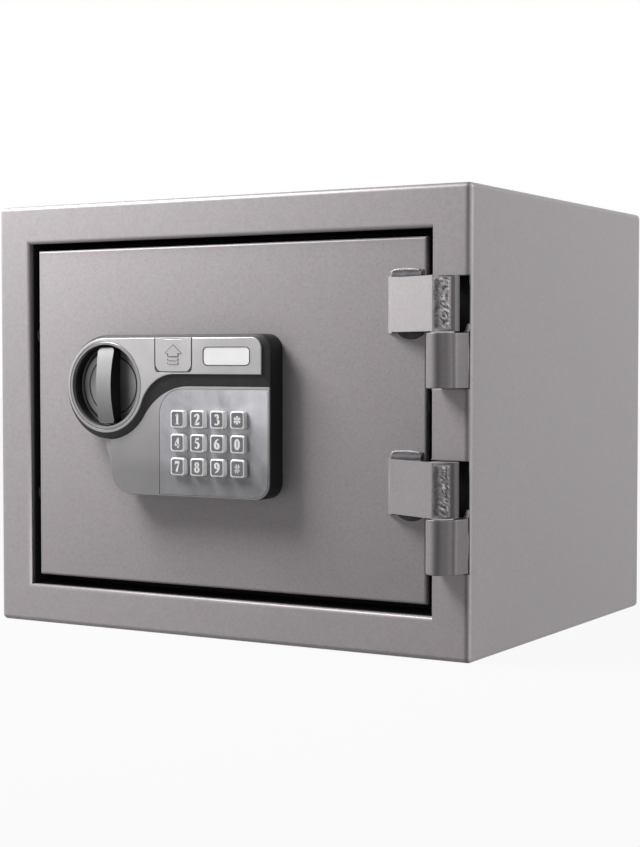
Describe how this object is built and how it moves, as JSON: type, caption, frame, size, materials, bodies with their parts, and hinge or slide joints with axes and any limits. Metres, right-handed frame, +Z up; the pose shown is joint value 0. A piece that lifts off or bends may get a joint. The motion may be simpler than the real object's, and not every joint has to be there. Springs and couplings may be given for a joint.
{
  "type": "fireproof electronic safe",
  "caption": "Small fireproof safe with insulated walls, a recessed door on weld-on hinges, a turning grip knob and a keypad lock.",
  "frame": {"origin": "centre of the body's base, on the floor", "axes": "+X to the hinge side along the width, +Z up, the door faces -Y"},
  "size_m": [0.43, 0.3597, 0.34],
  "materials": {
    "paint": "satin grained paint",
    "liner_paint": "satin paint",
    "steel": "bright",
    "zinc": "zinc plated",
    "fill": "cast fire fill",
    "seal": "matte",
    "silver": "satin silver lacquer",
    "black": "satin moulded",
    "bevel": "dark gloss lacquer",
    "film": "gloss film",
    "key": "satin",
    "window": "polished",
    "rubber": "matte",
    "board": "solder mask",
    "brass": "turned",
    "cell": "printed sleeve",
    "lead": "sleeved lead",
    "felt": "felt"
  },
  "bodies": {
    "cabinet": {"front_frame": "paint", "outer_shell": "paint", "back_panel": "paint", "inner_liner": "liner_paint", "liner_back": "liner_paint", "wall_insulation": "fill", "strike_box": "zinc", "fixed_bolt_box": "zinc", "frame_knuckles": "paint", "hinge_pins": "steel", "hinge_washers": "steel", "shelf": "liner_paint", "shelf_rails": "liner_paint", "floor_mat": "felt"},
    "door": {"door_plate": "paint", "door_pan": "liner_paint", "door_insulation": "fill", "door_seal": "seal", "hinge_leaves": "paint", "pan_screws": "zinc", "battery_box": "black", "batteries": "cell", "battery_lid": "black", "bolt_guides": "brass", "fixed_bolts": "steel", "lock_chassis": "zinc", "solenoid": "zinc", "lock_base": "black", "panel_screws": "zinc", "bevel_trim": "bevel", "upper_fascia": "silver", "display_window": "window", "key_cylinder": "zinc", "lower_fascia": "silver", "keypad_film": "film", "keypad_rubber": "rubber", "circuit_board": "board", "knob_bezel": "silver", "wire_harness": "lead", "plunger_spring": "steel"},
    "knob_shaft": {"knob": "silver", "spindle": "steel", "drive_cam": "zinc"},
    "bolt_set": {"bolt_carriage": "zinc", "live_bolts": "steel"},
    "cover": {"override_cover": "silver"},
    "lock_plug": {"key_plug": "brass"},
    "plunger": {"solenoid_plunger": "steel"},
    "press_1": {"key_1": "key"},
    "press_2": {"key_2": "key"},
    "press_3": {"key_3": "key"},
    "press_star": {"key_star": "key"},
    "press_4": {"key_4": "key"},
    "press_5": {"key_5": "key"},
    "press_6": {"key_6": "key"},
    "press_0": {"key_0": "key"},
    "press_7": {"key_7": "key"},
    "press_8": {"key_8": "key"},
    "press_9": {"key_9": "key"},
    "press_hash": {"key_hash": "key"}
  },
  "joints": [
    {"name": "door_swing", "type": "hinge", "parent": "cabinet", "child": "door", "pos_m": [0.1975, -0.179, 0.17], "axis": [0, 0, 1], "range_deg": [0, 120]},
    {"name": "knob_turn", "type": "hinge", "parent": "door", "child": "knob_shaft", "pos_m": [-0.0933, -0.169, 0.1948], "axis": [0, -1, 0], "range_deg": [0, 90]},
    {"name": "bolt_slide", "type": "slide", "parent": "door", "child": "bolt_set", "axis": [-1, 0, 0], "range_m": [0, 0.016]},
    {"name": "plunger_slide", "type": "slide", "parent": "door", "child": "plunger", "axis": [0, 0, 1], "range_m": [0, 0.005], "deforming": ["plunger_spring"]},
    {"name": "cover_slide", "type": "slide", "parent": "door", "child": "cover", "axis": [0, 0, 1], "range_m": [0, 0.024]},
    {"name": "plug_turn", "type": "hinge", "parent": "door", "child": "lock_plug", "pos_m": [-0.02825, -0.169, 0.218], "axis": [0, -1, 0], "range_deg": [0, 90]},
    {"name": "key_1_press", "type": "slide", "parent": "door", "child": "press_1", "axis": [0, 1, 0], "range_m": [0, 0.0012], "stiffness_N_per_m": 500},
    {"name": "key_2_press", "type": "slide", "parent": "door", "child": "press_2", "axis": [0, 1, 0], "range_m": [0, 0.0012], "stiffness_N_per_m": 500},
    {"name": "key_3_press", "type": "slide", "parent": "door", "child": "press_3", "axis": [0, 1, 0], "range_m": [0, 0.0012], "stiffness_N_per_m": 500},
    {"name": "key_star_press", "type": "slide", "parent": "door", "child": "press_star", "axis": [0, 1, 0], "range_m": [0, 0.0012], "stiffness_N_per_m": 500},
    {"name": "key_4_press", "type": "slide", "parent": "door", "child": "press_4", "axis": [0, 1, 0], "range_m": [0, 0.0012], "stiffness_N_per_m": 500},
    {"name": "key_5_press", "type": "slide", "parent": "door", "child": "press_5", "axis": [0, 1, 0], "range_m": [0, 0.0012], "stiffness_N_per_m": 500},
    {"name": "key_6_press", "type": "slide", "parent": "door", "child": "press_6", "axis": [0, 1, 0], "range_m": [0, 0.0012], "stiffness_N_per_m": 500},
    {"name": "key_0_press", "type": "slide", "parent": "door", "child": "press_0", "axis": [0, 1, 0], "range_m": [0, 0.0012], "stiffness_N_per_m": 500},
    {"name": "key_7_press", "type": "slide", "parent": "door", "child": "press_7", "axis": [0, 1, 0], "range_m": [0, 0.0012], "stiffness_N_per_m": 500},
    {"name": "key_8_press", "type": "slide", "parent": "door", "child": "press_8", "axis": [0, 1, 0], "range_m": [0, 0.0012], "stiffness_N_per_m": 500},
    {"name": "key_9_press", "type": "slide", "parent": "door", "child": "press_9", "axis": [0, 1, 0], "range_m": [0, 0.0012], "stiffness_N_per_m": 500},
    {"name": "key_hash_press", "type": "slide", "parent": "door", "child": "press_hash", "axis": [0, 1, 0], "range_m": [0, 0.0012], "stiffness_N_per_m": 500}
  ],
  "couplings": [
    {"joint": "knob_turn", "follows": "bolt_slide", "rad_per_m": 98.175}
  ]
}
